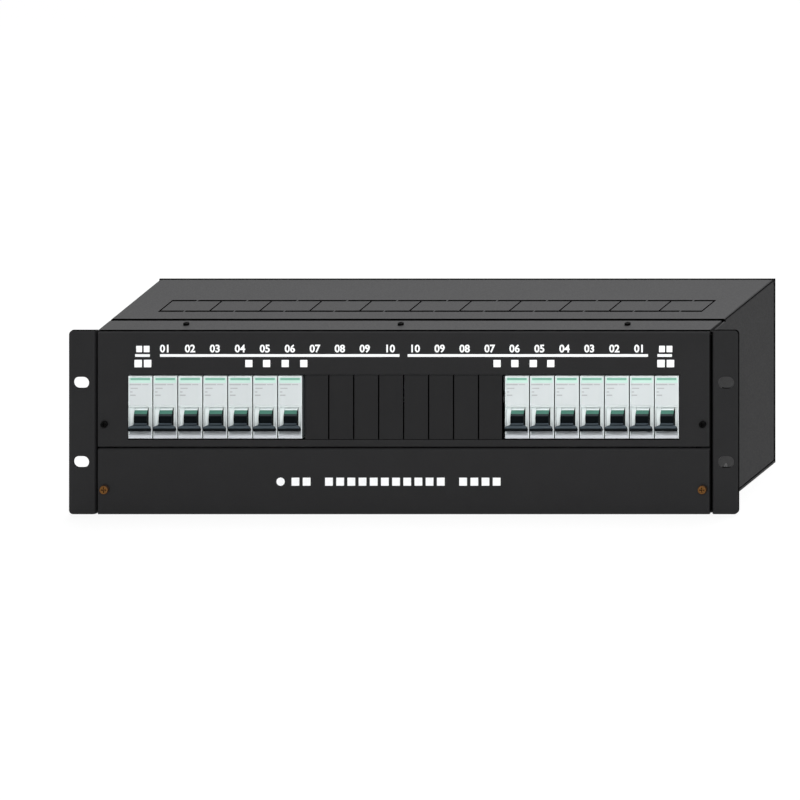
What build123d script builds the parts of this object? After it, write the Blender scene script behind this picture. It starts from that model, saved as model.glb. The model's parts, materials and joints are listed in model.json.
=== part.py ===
from build123d import *
import math
import os

# Three-unit 19-inch rack distribution unit. X runs to the right, Y to the rear and Z up. The origin is
# the centre of the four rack slots, on the rear face of the rack ears, where they meet the rack rails.

# Rack panel
panel_width = 482.6
panel_height = 132.5
panel_sheet = 2.0
unit_depth = 120.0
slot_inset = 8.75
slot_spacing_z = 57.15
slot_length = 11.4
slot_height = 8.4
ear_corner_radius = 3.0
ear_leg_depth = 36.0
ear_leg_height = 104.0
ear_lip_depth = 3.0
ear_lip_trim = 0.9

# Sheet case
case_sheet = 1.5
ear_reach = 19.4
case_flange = 12.0
bend_radius = 0.6
corner_relief = 1.5

# Front panels
ear_seam = 1.4
cover_seam = 1.2
window_drop = 55.35
window_web = 5.0
cover_return = 8.0
top_flange_depth = 22.4
top_flange_seam = 4.7
rail_channel_setback = 3.0
rail_channel_lap = 2.0
window_side_play = 0.7
window_end_play = 0.9

# Break-out cable windows in the top, each held by a tab at the front and one at the rear
knockout_count = 11
knockout_last = 31.1
knockout_depth = 24.3
knockout_setback = 44.5
knockout_left = 28.7
knockout_right = 24.0
knockout_cut = 1.2
knockout_wide_cut = 3.0
knockout_tab = 1.0

# Modules on the rail
module_pitch = 18.0
group_count = 7
module_gap = 0.8
group_shift = 0.8
rail_margin = 23.4

# Breaker case, measured from the face of its nose
nose_height = 45.0
nose_proud = 0.5
nose_depth = 24.0
nose_chamfer = 0.3
body_height = 81.0
body_chamfer = 2.0
rail_reach = 68.0
hook_depth = 5.0
hook_lip = 1.9
hook_play = 0.3
label_width = 16.2
label_height = 20.5
label_inset = 0.3
label_edge = 0.9
recess_depth = 3.0
recess_width = 16.3
ledge_height = 2.4
clip_width = 9.0
clip_drop = 2.0

# Breaker terminals
terminal_width = 9.0
terminal_setback = 3.0
terminal_depth = 8.0
terminal_height = 12.0
terminal_offset = 31.5
terminal_bore = 3.0

# Toggle
toggle_drop = 8.5
toggle_swing = 33.0
drum_radius = 9.5
drum_width = 9.4
drum_back = 3.0
drum_play = 0.4
drum_side_play = 0.3
neck_reach = 10.6
neck_thickness = 4.8
grip_reach = 13.6
grip_flare = 11.7
grip_root_gap = 0.45
grip_width = 15.7
grip_thickness = 3.2
grip_round = 0.35
grip_clearance = 0.35
axle_radius = 1.5
axle_length = 2.0
axle_play = 0.05
axle_end_play = 0.2

# Blanking strips
strip_outer_gap = 1.1
strip_inner_gap = 0.5
strip_plate = 2.0
strip_wall = 1.4
strip_leg = 9.0
strip_barb = 1.1
strip_barb_length = 2.3
strip_barb_play = 0.3
strip_groove_width = 1.0
strip_groove_depth = 1.2
strip_play = 0.35

# Mounting rail and its brackets
rail_height = 35.0
rail_inner = 27.0
rail_depth = 7.5
rail_sheet = 1.0
rail_end_gap = 4.4
rail_bend = 0.8
rail_slot_length = 12.0
rail_slot_height = 5.4
rail_screw_inset = 12.0
bracket_foot = 30.0
bracket_leg = 30.0
bracket_height = 30.0

# Comb busbars
comb_strip = 1.5
comb_height = 12.0
comb_tooth_width = 4.0
comb_tooth_reach = 9.5
comb_drop = 2.4
comb_end = 3.0
comb_cover_wall = 1.4
comb_cover_play = 0.3
comb_cover_end = 4.0
comb_cover_top_gap = 0.6

# Return bars
bar_end_room = 21.9
bar_height = 20.0
bar_thickness = 6.0
bar_gap = 32.0
bar_front = 12.0
bar_rise = 6.75
bar_screw_count = 7
bar_screw_inset = 26.0
foot_width = 12.0
foot_wall = 2.8
foot_play = 0.2
foot_lip = 3.0
foot_height = 23.0
foot_inset = 10.0

# Screws
screw_play = 0.15
cross_width = 0.8
cross_share = 0.6
cross_depth = 1.0
head_bevel = 0.4
flat_head_radius = 3.6
flat_shank_radius = 1.8
flat_shank_length = 6.0
flange_screw_head = 2.1
flange_screw_height = 1.8
flange_screw_shank = 1.3
flange_screw_length = 7.0
flange_screw_setback = 13.0
flange_screw_places = (-161.7, -7.1, 156.5)
panel_screw_head = 2.5
panel_screw_height = 1.6
panel_screw_shank = 1.3
panel_screw_length = 8.0
panel_screw_inset = 6.2
panel_screw_drop = 12.25
cover_screw_head = 3.25
cover_screw_height = 1.8
cover_screw_shank = 2.0
cover_screw_length = 9.0
cover_screw_rise = 17.9
rail_screw_head = 4.4
rail_screw_height = 2.6
rail_screw_shank = 2.4
rail_screw_length = 9.0
terminal_screw_head = 2.6
terminal_screw_height = 3.0
terminal_screw_shank = 1.9
bar_screw_flats = 8.0
bar_screw_height = 3.2
bar_screw_shank = 2.4
ear_screw_pitch = 40.0
ear_screw_setback = 20.0
rear_screw_pitch = 40.0
rear_screw_spread = 180.0
base_screw_pitch = 40.0

# Cable entries and earth stud in the rear panel
entry_length = 70.0
entry_height = 26.0
entry_radius = 9.0
entry_inset = 101.9
entry_z = -22.0
grommet_wall = 3.0
grommet_lip = 2.2
grommet_lip_thickness = 1.6
grommet_play = 0.1
stud_inset = 26.9
stud_rise = 21.25
stud_radius = 3.0
stud_length = 6.5
stud_head_radius = 5.0
stud_head = 2.0
nut_width = 10.0
nut_height = 3.6

# Derived places
case_width = panel_width - 2 * ear_reach
slot_spacing_x = panel_width - 2 * slot_inset
half_width = case_width / 2
half_height = panel_height / 2
window_rise = half_height - window_drop
panel_front = -panel_sheet
rear_face = panel_front + unit_depth
shell_back = rear_face - case_sheet
base_top = -half_height + case_sheet
bend_middle = bend_radius + case_sheet / 2
panel_bend_middle = bend_radius + panel_sheet / 2
inner_half = half_width - case_sheet
flange_middle = half_width - case_flange / 2
window_height = nose_height + 2 * window_end_play
upper_bottom = window_rise - window_height / 2 - window_web
cover_top = upper_bottom - cover_seam
flange_under = half_height - panel_sheet
flange_back = panel_front + top_flange_depth
notch_back = flange_back + top_flange_seam
nose_front = panel_front - nose_proud
nose_width = module_pitch - module_gap
rail_front = nose_front + rail_reach
pivot_y = nose_front + drum_radius
pivot_z = window_rise - toggle_drop
strip_modules = int((case_width - 2 * rail_margin) / module_pitch / 2) - group_count
module_count = 2 * (group_count + strip_modules)
window_width = module_count * module_pitch + 2 * window_side_play
swing = math.radians(toggle_swing)
flat_head_height = case_sheet - 2 * screw_play
shank_seat = flat_shank_radius + screw_play
panel_screw_x = half_width - panel_screw_inset
panel_screw_z = window_rise - panel_screw_drop
cover_screw_z = cover_screw_rise - half_height
rail_length = 2 * (inner_half - rail_end_gap)
bar_length = (case_width - bar_gap) / 2 - bar_end_room
bar_screw_pitch = (bar_length - 2 * bar_screw_inset) / (bar_screw_count - 1)
knockout_span = case_width - knockout_left - knockout_right
knockout_pitch = (knockout_span - knockout_last) / (knockout_count - 1)
entry_x = half_width - entry_inset
stud_x = half_width - stud_inset
stud_z = stud_rise - half_height

module_centres = [(i - (module_count - 1) / 2) * module_pitch for i in range(module_count)]
left_names = ["a_input"] + ["a" + str(n + 1) for n in range(group_count - 1)]
right_names = ["b" + str(n + 1) for n in reversed(range(group_count - 1))] + ["b_input"]
breakers = {name: x - group_shift for name, x in zip(left_names, module_centres)}
for name, x in zip(right_names, module_centres[-group_count:]):
    breakers[name] = x + group_shift
group_centre = (module_count - group_count) / 2 * module_pitch + group_shift

os.makedirs("parts", exist_ok=True)


def save(part, name):
    """Labels one finished piece and writes it."""
    part.label = name
    export_step(part, "parts/" + name + ".step")


def folded_sheet(plane, points, radius, thickness, extent):
    """Adds a folded sheet: its middle line on the plane, extruded to both sides of the plane."""
    with BuildSketch(plane) as section:
        with BuildLine():
            path = FilletPolyline(*points, radius=radius)
        trace(path, line_width=thickness)
    extrude(section.sketch, amount=extent, both=True)


def cut_block(centre, size):
    """Removes a block from the part in progress."""
    with Locations(centre):
        Box(*size, mode=Mode.SUBTRACT)


def round_cut(plane, places, radius, depth):
    """Drills plain holes inwards from a plane that faces out of the part."""
    with BuildSketch(plane) as holes:
        with Locations(*places):
            Circle(radius)
    extrude(holes.sketch, amount=-depth, mode=Mode.SUBTRACT)


def pan_screws(plane, places, head, height, shank, length):
    """Adds cross-recessed pan-head screws whose heads stand on a plane that faces outwards."""
    with BuildSketch(plane) as heads:
        with Locations(*places):
            Circle(head)
    extrude(heads.sketch, amount=height - head_bevel)
    with BuildSketch(plane.offset(height - head_bevel)) as crowns:
        with Locations(*places):
            Circle(head)
    extrude(crowns.sketch, amount=head_bevel, taper=45)
    with BuildSketch(plane) as shanks:
        with Locations(*places):
            Circle(shank)
    extrude(shanks.sketch, amount=-length)
    with BuildSketch(plane.offset(height)) as crosses:
        with Locations(*places):
            Rectangle(cross_width, 2 * cross_share * head)
            Rectangle(2 * cross_share * head, cross_width)
    extrude(crosses.sketch, amount=-cross_depth, mode=Mode.SUBTRACT)


def flat_screws(plane, places):
    """Adds countersunk case screws, flush with a plane that faces outwards."""
    with BuildSketch(plane.offset(-screw_play)) as heads:
        with Locations(*places):
            Circle(flat_head_radius)
    extrude(heads.sketch, amount=-flat_head_height, taper=45)
    with BuildSketch(plane.offset(-screw_play)) as shanks:
        with Locations(*places):
            Circle(flat_shank_radius)
    extrude(shanks.sketch, amount=-flat_shank_length)


def flat_seats(plane, places):
    """Cuts the countersinks and holes for flat_screws."""
    with BuildSketch(plane) as seats:
        with Locations(*places):
            Circle(flat_head_radius + 2 * screw_play)
    extrude(seats.sketch, amount=-flat_head_height - screw_play, taper=45, mode=Mode.SUBTRACT)
    round_cut(plane, places, shank_seat, flat_shank_length)


# Planes on the faces that carry screws, each facing out of the unit; x runs right as seen from outside
front_plane = Plane(origin=(0, panel_front, 0), x_dir=(1, 0, 0), z_dir=(0, -1, 0))
rear_plane = Plane(origin=(0, rear_face, 0), x_dir=(-1, 0, 0), z_dir=(0, 1, 0))
bottom_plane = Plane(origin=(0, 0, -half_height), x_dir=(1, 0, 0), z_dir=(0, 0, -1))
top_plane = Plane.XY.offset(half_height)

panel_screw_places = [(-panel_screw_x, panel_screw_z), (panel_screw_x, panel_screw_z)]
cover_screw_places = [(-panel_screw_x, cover_screw_z), (panel_screw_x, cover_screw_z)]
flange_places = [(x, panel_front + flange_screw_setback) for x in flange_screw_places]
rear_side_places = [
    (side * flange_middle, row * rear_screw_pitch) for side in (-1, 1) for row in (-1, 0, 1)
]
rear_edge_z = half_height - case_flange / 2
rear_edge_places = [
    (side * rear_screw_spread / 2, end * rear_edge_z) for side in (-1, 1) for end in (-1, 1)
]
base_screw_first = rear_face / 2 - base_screw_pitch
base_places = [
    (side * flange_middle, -(base_screw_first + row * base_screw_pitch))
    for side in (-1, 1)
    for row in range(3)
]
ear_places = [(ear_screw_setback, row * ear_screw_pitch) for row in (-1, 0, 1)]
rail_screw_x = rail_length / 2 - rail_screw_inset


# Chassis shell: top and sides folded from one sheet, with inward flanges at front, rear and bottom
with BuildPart() as chassis_shell:
    wall_middle = half_width - case_sheet / 2
    top_middle = half_height - case_sheet / 2
    bottom_middle = base_top + case_sheet / 2
    flange_end = half_width - case_flange
    fold_back = shell_back - case_sheet - bend_radius
    wrap_centre = (fold_back + bend_middle) / 2
    wrap_plane = Plane(origin=(0, wrap_centre, 0), x_dir=(1, 0, 0), z_dir=(0, -1, 0))
    wrap_points = [
        (-flange_end, bottom_middle),
        (-wall_middle, bottom_middle),
        (-wall_middle, top_middle),
        (wall_middle, top_middle),
        (wall_middle, bottom_middle),
        (flange_end, bottom_middle),
    ]
    folded_sheet(wrap_plane, wrap_points, bend_middle, case_sheet, (fold_back - bend_middle) / 2)
    # Front and rear flanges of each side
    side_low = base_top + case_sheet + corner_relief
    side_high = flange_under - corner_relief
    side_plane = Plane.XY.offset((side_low + side_high) / 2)
    for side in (-1, 1):
        side_points = [
            (side * flange_end, case_sheet / 2),
            (side * wall_middle, case_sheet / 2),
            (side * wall_middle, shell_back - case_sheet / 2),
            (side * flange_end, shell_back - case_sheet / 2),
        ]
        folded_sheet(side_plane, side_points, bend_middle, case_sheet, (side_high - side_low) / 2)
    # Rear flange of the top
    top_points = [
        (wrap_centre, top_middle),
        (shell_back - case_sheet / 2, top_middle),
        (shell_back - case_sheet / 2, half_height - case_flange),
    ]
    top_extent = inner_half - bend_radius - corner_relief
    folded_sheet(Plane.YZ, top_points, bend_middle, case_sheet, top_extent)
    # Room for the top flange of the upper front panel
    notch_height = half_height - flange_under
    cut_block(
        (0, notch_back / 2, half_height - notch_height / 2),
        (panel_width, notch_back, notch_height),
    )
    # Break-out windows: slots all round, apart from a tab in the middle of each front and rear edge
    window_near = panel_front + knockout_setback
    window_far = window_near + knockout_depth
    edges = [knockout_left - half_width + n * knockout_pitch for n in range(knockout_count)]
    edges.append(edges[-1] + knockout_last)
    with BuildSketch(top_plane):
        with Locations(*[(edge, (window_near + window_far) / 2) for edge in edges]):
            Rectangle(knockout_cut, knockout_depth + knockout_wide_cut)
        for y in (window_near, window_far):
            with Locations(((edges[0] + edges[-1]) / 2, y)):
                Rectangle(knockout_span, knockout_wide_cut)
            with Locations(*[((left + right) / 2, y) for left, right in zip(edges, edges[1:])]):
                Rectangle(knockout_tab, knockout_wide_cut, mode=Mode.SUBTRACT)
    extrude(amount=-case_sheet, mode=Mode.SUBTRACT)
    # Screw holes in the flanges
    round_cut(front_plane, panel_screw_places, panel_screw_shank + screw_play, panel_screw_length)
    round_cut(front_plane, cover_screw_places, cover_screw_shank + screw_play, cover_screw_length)
    round_cut(rear_plane, rear_side_places, shank_seat, flat_shank_length)
    round_cut(rear_plane, [p for p in rear_edge_places if p[1] > 0], shank_seat, flat_shank_length)
    round_cut(bottom_plane, base_places, shank_seat, flat_shank_length)
    for side in (-1, 1):
        leg_plane = Plane(origin=(side * half_width, 0, 0), x_dir=(0, 1, 0), z_dir=(side, 0, 0))
        leg_places = [(y, z * side) for y, z in ear_places]
        round_cut(leg_plane, leg_places, shank_seat, flat_shank_length)
save(chassis_shell.part, "chassis_shell")

# Base plate with upturned front and rear lips between the shell's flanges
with BuildPart() as base_plate:
    floor_middle = -half_height + case_sheet / 2
    lip_top = -half_height + case_flange
    base_points = [
        (case_sheet / 2, lip_top),
        (case_sheet / 2, floor_middle),
        (shell_back - case_sheet / 2, floor_middle),
        (shell_back - case_sheet / 2, lip_top),
    ]
    folded_sheet(Plane.YZ, base_points, bend_middle, case_sheet, half_width)
    lip_room = case_flange + corner_relief
    for side in (-1, 1):
        cut_block(
            (side * (half_width - lip_room / 2), rear_face / 2, base_top + case_flange / 2),
            (lip_room, unit_depth, case_flange),
        )
    flat_seats(bottom_plane, base_places)
    round_cut(rear_plane, [p for p in rear_edge_places if p[1] < 0], shank_seat, flat_shank_length)
save(base_plate.part, "base_plate")

# Rear panel with two cable entries and the hole of the earth stud
entry_places = [(-entry_x, entry_z), (entry_x, entry_z)]
with BuildPart() as rear_panel:
    with BuildSketch(rear_plane):
        Rectangle(case_width, panel_height)
        with Locations(*entry_places):
            RectangleRounded(entry_length, entry_height, entry_radius, mode=Mode.SUBTRACT)
        with Locations((-stud_x, stud_z)):
            Circle(stud_radius + screw_play, mode=Mode.SUBTRACT)
    extrude(amount=-case_sheet)
    flat_seats(rear_plane, rear_side_places + rear_edge_places)
save(rear_panel.part, "rear_panel")

# Rubber grommets, a groove over the panel edge between two lips
for name, place in zip(("right_cable_grommet", "left_cable_grommet"), entry_places):
    with BuildPart() as cable_grommet:
        lip_size = (entry_length + 2 * grommet_lip, entry_height + 2 * grommet_lip)
        outer_plane = rear_plane.offset(grommet_play)
        inner_plane = rear_plane.offset(-case_sheet - grommet_play)
        for lip_plane, lip_amount in (
            (outer_plane, grommet_lip_thickness),
            (inner_plane, -grommet_lip_thickness),
        ):
            with BuildSketch(lip_plane):
                with Locations(place):
                    RectangleRounded(*lip_size, entry_radius + grommet_lip)
            extrude(amount=lip_amount)
        with BuildSketch(outer_plane):
            with Locations(place):
                RectangleRounded(
                    entry_length - 2 * grommet_play,
                    entry_height - 2 * grommet_play,
                    entry_radius - grommet_play,
                )
        extrude(amount=-case_sheet - 2 * grommet_play)
        with BuildSketch(outer_plane.offset(grommet_lip_thickness)):
            with Locations(place):
                RectangleRounded(
                    entry_length - 2 * grommet_wall,
                    entry_height - 2 * grommet_wall,
                    entry_radius - grommet_wall,
                )
        grommet_depth = case_sheet + 2 * (grommet_play + grommet_lip_thickness)
        extrude(amount=-grommet_depth, mode=Mode.SUBTRACT)
    save(cable_grommet.part, name)

# Channel under the top flange and under the seam behind it, its ends against the side walls
with BuildPart() as front_top_rail:
    channel_front = rail_channel_setback + case_sheet / 2
    channel_back = notch_back + rail_channel_lap - case_sheet / 2
    channel_top = flange_under - case_sheet / 2
    channel_low = flange_under - case_flange
    channel_points = [
        (channel_front, channel_low),
        (channel_front, channel_top),
        (channel_back, channel_top),
        (channel_back, channel_low),
    ]
    folded_sheet(Plane.YZ, channel_points, bend_middle, case_sheet, inner_half)
    # Corners cleared for the bends of the shell
    for side in (-1, 1):
        cut_block(
            (side * inner_half, (channel_front + channel_back) / 2, flange_under),
            (2 * bend_radius + 2 * screw_play, channel_back, 2 * bend_radius),
        )
    round_cut(top_plane, flange_places, flange_screw_shank + screw_play, case_flange / 2)
save(front_top_rail.part, "front_top_rail")

# Upper front panel: window for the modules, and a top flange folded back
front_half = half_width - ear_seam
with BuildPart() as upper_front_panel:
    upper_points = [
        (panel_front / 2, upper_bottom),
        (panel_front / 2, half_height - panel_sheet / 2),
        (flange_back, half_height - panel_sheet / 2),
    ]
    folded_sheet(Plane.YZ, upper_points, panel_bend_middle, panel_sheet, front_half)
    with BuildSketch(front_plane):
        with Locations((0, window_rise)):
            Rectangle(window_width, window_height)
    extrude(amount=-panel_sheet, mode=Mode.SUBTRACT)
    round_cut(front_plane, panel_screw_places, panel_screw_shank + screw_play, panel_sheet)
    round_cut(top_plane, flange_places, flange_screw_shank + screw_play, panel_sheet)
save(upper_front_panel.part, "upper_front_panel")

# Lower front cover, its top edge folded back between the shell's flanges
with BuildPart() as lower_front_cover:
    cover_points = [
        (panel_front / 2, -half_height),
        (panel_front / 2, cover_top - panel_sheet / 2),
        (cover_return, cover_top - panel_sheet / 2),
    ]
    folded_sheet(Plane.YZ, cover_points, panel_bend_middle, panel_sheet, front_half)
    return_room = case_flange + corner_relief
    for side in (-1, 1):
        cut_block(
            (side * (half_width - return_room / 2), cover_return / 2, cover_top - panel_sheet),
            (return_room, cover_return, 2 * (panel_sheet + bend_radius)),
        )
    round_cut(front_plane, cover_screw_places, cover_screw_shank + screw_play, panel_sheet)
save(lower_front_cover.part, "lower_front_cover")

# Rack ears: slotted front plates with a leg screwed to each side of the shell
for name, side in (("left_rack_ear", -1), ("right_rack_ear", 1)):
    with BuildPart() as rack_ear:
        leg_middle = side * (half_width + panel_sheet / 2)
        ear_points = [
            (side * panel_width / 2, panel_front / 2),
            (leg_middle, panel_front / 2),
            (leg_middle, ear_leg_depth),
        ]
        folded_sheet(Plane.XY, ear_points, panel_bend_middle, panel_sheet, half_height)
        cut_height = (panel_height - ear_leg_height) / 2
        cut_width = 2 * (panel_sheet + bend_radius)
        for end in (-1, 1):
            cut_block(
                (leg_middle, ear_lip_depth + ear_leg_depth / 2, end * (half_height - cut_height / 2)),
                (cut_width, ear_leg_depth, cut_height),
            )
        cut_block(
            (leg_middle, ear_lip_depth / 2, half_height - ear_lip_trim / 2),
            (cut_width, ear_lip_depth, ear_lip_trim),
        )
        plate_edges = rack_ear.edges().filter_by(Axis.Y).group_by(Axis.X)[0 if side < 0 else -1]
        fillet(plate_edges, ear_corner_radius)
        with BuildSketch(front_plane):
            with Locations(
                (side * slot_spacing_x / 2, -slot_spacing_z / 2),
                (side * slot_spacing_x / 2, slot_spacing_z / 2),
            ):
                SlotOverall(slot_length, slot_height)
        extrude(amount=-panel_sheet, mode=Mode.SUBTRACT)
        leg_plane = Plane(
            origin=(side * (half_width + panel_sheet), 0, 0), x_dir=(0, 1, 0), z_dir=(side, 0, 0)
        )
        flat_seats(leg_plane, [(y, z * side) for y, z in ear_places])
    save(rack_ear.part, name)

# Mounting rail of 35 mm with its fixing slots
with BuildPart() as din_rail:
    lip_y = rail_front + rail_sheet / 2
    web_y = rail_front + rail_depth - rail_sheet / 2
    lip_z = rail_height / 2
    web_z = rail_inner / 2 - rail_sheet / 2
    rail_plane = Plane(origin=(0, 0, window_rise), x_dir=(0, 1, 0), z_dir=(1, 0, 0))
    rail_points = [
        (lip_y, lip_z),
        (lip_y, web_z),
        (web_y, web_z),
        (web_y, -web_z),
        (lip_y, -web_z),
        (lip_y, -lip_z),
    ]
    folded_sheet(rail_plane, rail_points, rail_bend, rail_sheet, rail_length / 2)
    with BuildSketch(Plane.XZ.offset(-web_y - rail_sheet)):
        with Locations((-rail_screw_x, window_rise), (rail_screw_x, window_rise)):
            SlotOverall(rail_slot_length, rail_slot_height)
    extrude(amount=2 * rail_sheet, mode=Mode.SUBTRACT)
save(din_rail.part, "din_rail")

# Rail brackets, welded to the side walls behind the rail
bracket_y = rail_front + rail_depth
for name, side in (("left_rail_bracket", -1), ("right_rail_bracket", 1)):
    with BuildPart() as rail_bracket:
        bracket_points = [
            (side * (inner_half - bracket_foot), bracket_y + case_sheet / 2),
            (side * (inner_half - case_sheet / 2), bracket_y + case_sheet / 2),
            (side * (inner_half - case_sheet / 2), bracket_y + bracket_leg),
        ]
        bracket_plane = Plane.XY.offset(window_rise)
        folded_sheet(bracket_plane, bracket_points, bend_middle, case_sheet, bracket_height / 2)
        with BuildSketch(Plane.XZ.offset(-bracket_y - case_sheet)):
            with Locations((side * rail_screw_x, window_rise)):
                Circle(rail_screw_shank + screw_play)
        extrude(amount=case_sheet, mode=Mode.SUBTRACT)
    save(rail_bracket.part, name)

# Breaker case: nose with label field and toggle recess, shoulders, rail hooks and terminals.
# Its outline lies on a plane whose x is the depth behind the nose face and whose y is the height
# above the middle of the nose.
breaker_plane = Plane(origin=(0, nose_front, window_rise), x_dir=(0, 1, 0), z_dir=(1, 0, 0))
grip_rise = grip_reach * math.sin(swing) + grip_thickness / 2 * math.cos(swing)
recess_top = -toggle_drop + grip_rise + grip_clearance
ledge_top = -nose_height / 2 + ledge_height
pocket_radius = drum_radius + drum_play
pocket_half = math.sqrt(pocket_radius**2 - (drum_radius - recess_depth) ** 2)
floor_bottom = -toggle_drop - pocket_half - drum_play
pocket_width = drum_width + 2 * drum_side_play
half_nose = nose_height / 2
half_body = body_height / 2
half_lip = rail_height / 2 + hook_play
hook_inner = half_lip - hook_lip
hook_gap = rail_sheet + hook_play
full_depth = rail_reach + hook_depth

with BuildPart() as breaker_case:
    with BuildSketch(breaker_plane):
        with BuildLine():
            Polyline(
                (nose_depth, half_nose),
                (nose_chamfer, half_nose),
                (0, half_nose - nose_chamfer),
                (0, -half_nose + nose_chamfer),
                (nose_chamfer, -half_nose),
                (nose_depth, -half_nose),
                (nose_depth, -half_body + body_chamfer),
                (nose_depth + body_chamfer, -half_body),
                (full_depth - body_chamfer, -half_body),
                (full_depth, -half_body + body_chamfer),
                (full_depth, -hook_inner),
                (rail_reach + hook_gap, -hook_inner),
                (rail_reach + hook_gap, -half_lip),
                (rail_reach, -half_lip),
                (rail_reach, half_lip),
                (rail_reach + hook_gap, half_lip),
                (rail_reach + hook_gap, hook_inner),
                (full_depth, hook_inner),
                (full_depth, half_body - body_chamfer),
                (full_depth - body_chamfer, half_body),
                (nose_depth + body_chamfer, half_body),
                (nose_depth, half_body - body_chamfer),
                (nose_depth, half_nose),
            )
        make_face()
    extrude(amount=nose_width / 2, both=True)
    # Softened upright edges of the nose face
    nose_face = breaker_case.faces().filter_by(Axis.Y).sort_by(Axis.Y)[0]
    chamfer(nose_face.edges().filter_by(Axis.Z), nose_chamfer)
    # Toggle recess between thin side walls, with a curved ramp down to the ledge
    with BuildSketch(breaker_plane):
        with BuildLine():
            drop = Polyline(
                (-nose_chamfer, recess_top),
                (0, recess_top),
                (recess_depth, recess_top - grip_clearance),
                (recess_depth, floor_bottom),
            )
            ramp = TangentArc(drop @ 1, (0, ledge_top), tangent=(0, -1))
            Polyline(ramp @ 1, (-nose_chamfer, ledge_top), (-nose_chamfer, recess_top))
        make_face()
    extrude(amount=recess_width / 2, both=True, mode=Mode.SUBTRACT)
    # Label field
    label_middle = half_nose - label_edge - label_height / 2
    cut_block(
        (0, nose_front, window_rise + label_middle),
        (label_width, 2 * label_inset, label_height),
    )
    # Pocket of the toggle drum, with a bore for its axle in each cheek
    pivot_place = (drum_radius, -toggle_drop)
    with BuildSketch(breaker_plane):
        with Locations(pivot_place):
            Circle(pocket_radius)
    extrude(amount=pocket_width / 2, both=True, mode=Mode.SUBTRACT)
    with BuildSketch(breaker_plane):
        with Locations(pivot_place):
            Circle(axle_radius + axle_play)
    bore_reach = drum_width / 2 + axle_length + axle_end_play
    extrude(amount=bore_reach, both=True, mode=Mode.SUBTRACT)
    # Terminal mouths above and below, with the screw wells in the shoulders
    mouth_y = nose_front + nose_depth + body_chamfer + terminal_setback + terminal_depth / 2
    well_depth = mouth_y - nose_front - nose_depth + terminal_depth / 2
    for end in (-1, 1):
        cut_block(
            (0, mouth_y, window_rise + end * (half_body - terminal_height / 2)),
            (terminal_width, terminal_depth, terminal_height),
        )
    shoulder_plane = front_plane.offset(-nose_depth + nose_proud)
    well_places = [(0, window_rise - terminal_offset), (0, window_rise + terminal_offset)]
    round_cut(shoulder_plane, well_places, terminal_bore, well_depth)
    # Tongue of the rail clip under the rear edge
    with Locations((0, rail_front, window_rise - half_body - clip_drop / 2)):
        Box(clip_width, hook_depth, clip_drop)
for name, x in breakers.items():
    save(breaker_case.part.moved(Location((x, 0, 0))), "breaker_case_" + name)

# Toggle at OFF: drum with neck and cross grip on two stub axles, drawn along the lever's direction
lever_plane = Plane(
    origin=(0, pivot_y, pivot_z),
    x_dir=(0, -math.cos(swing), -math.sin(swing)),
    z_dir=(1, 0, 0),
)
with BuildPart() as toggle:
    drum_angle = math.degrees(math.acos(-drum_back / drum_radius))
    with BuildSketch(lever_plane):
        with BuildLine():
            rim = CenterArc((0, 0), drum_radius, -drum_angle, 2 * drum_angle)
            Line(rim @ 1, rim @ 0)
        make_face()
        Rectangle(neck_reach, neck_thickness, align=(Align.MIN, Align.CENTER))
    extrude(amount=drum_width / 2, both=True)
    grip_root = drum_radius + grip_root_gap
    with BuildSketch(lever_plane):
        Rectangle(grip_reach, grip_thickness, align=(Align.MIN, Align.CENTER))
    extrude(amount=drum_width / 2, both=True)
    # The grip widens from the neck to its full width, drawn as seen from above the lever
    flare_plane = Plane(origin=lever_plane.origin, x_dir=lever_plane.x_dir, z_dir=lever_plane.y_dir)
    with BuildSketch(flare_plane):
        with BuildLine():
            Polyline(
                (grip_root, -drum_width / 2),
                (grip_flare, -grip_width / 2),
                (grip_reach, -grip_width / 2),
                (grip_reach, grip_width / 2),
                (grip_flare, grip_width / 2),
                (grip_root, drum_width / 2),
                close=True,
            )
        make_face()
    extrude(amount=grip_thickness / 2, both=True)
    tip_edges = toggle.faces().filter_by(Plane.YZ, reverse=True).sort_by(Axis.Y)[0].edges()
    chamfer(tip_edges.filter_by(Axis.X), grip_round)
    with BuildSketch(lever_plane):
        Circle(axle_radius)
    extrude(amount=drum_width / 2 + axle_length, both=True)
for name, x in breakers.items():
    save(toggle.part.moved(Location((x, 0, 0))), "toggle_" + name)

# Blanking strips: four modules each, grooved to break apart, clipped into the window
strip_length = strip_modules * module_pitch - strip_outer_gap - strip_inner_gap
strip_half = window_height / 2 - strip_play
for name, side in (("blank_strip_a", -1), ("blank_strip_b", 1)):
    strip_centre = side * (strip_inner_gap + strip_length / 2)
    with BuildPart() as blank_strip:
        strip_plane = Plane(origin=(strip_centre, 0, window_rise), x_dir=(0, 1, 0), z_dir=(1, 0, 0))
        barb_end = strip_barb_play + strip_barb_length
        plate_back = panel_front + strip_plate
        upper_half = [
            (panel_front, strip_half),
            (strip_barb_play, strip_half),
            (strip_barb_play, strip_half + strip_barb),
            (barb_end, strip_half),
            (strip_leg, strip_half),
            (strip_leg, strip_half - strip_wall),
            (plate_back, strip_half - strip_wall),
        ]
        lower_half = [(y, -z) for y, z in reversed(upper_half)]
        with BuildSketch(strip_plane):
            with BuildLine():
                Polyline(*upper_half, *lower_half, close=True)
            make_face()
        extrude(amount=strip_length / 2, both=True)
        groove_places = [
            (side * n * module_pitch, panel_front, window_rise) for n in range(1, strip_modules)
        ]
        with Locations(*groove_places):
            Box(strip_groove_width, 2 * strip_groove_depth, 2 * strip_half, mode=Mode.SUBTRACT)
    save(blank_strip.part, name)

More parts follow.
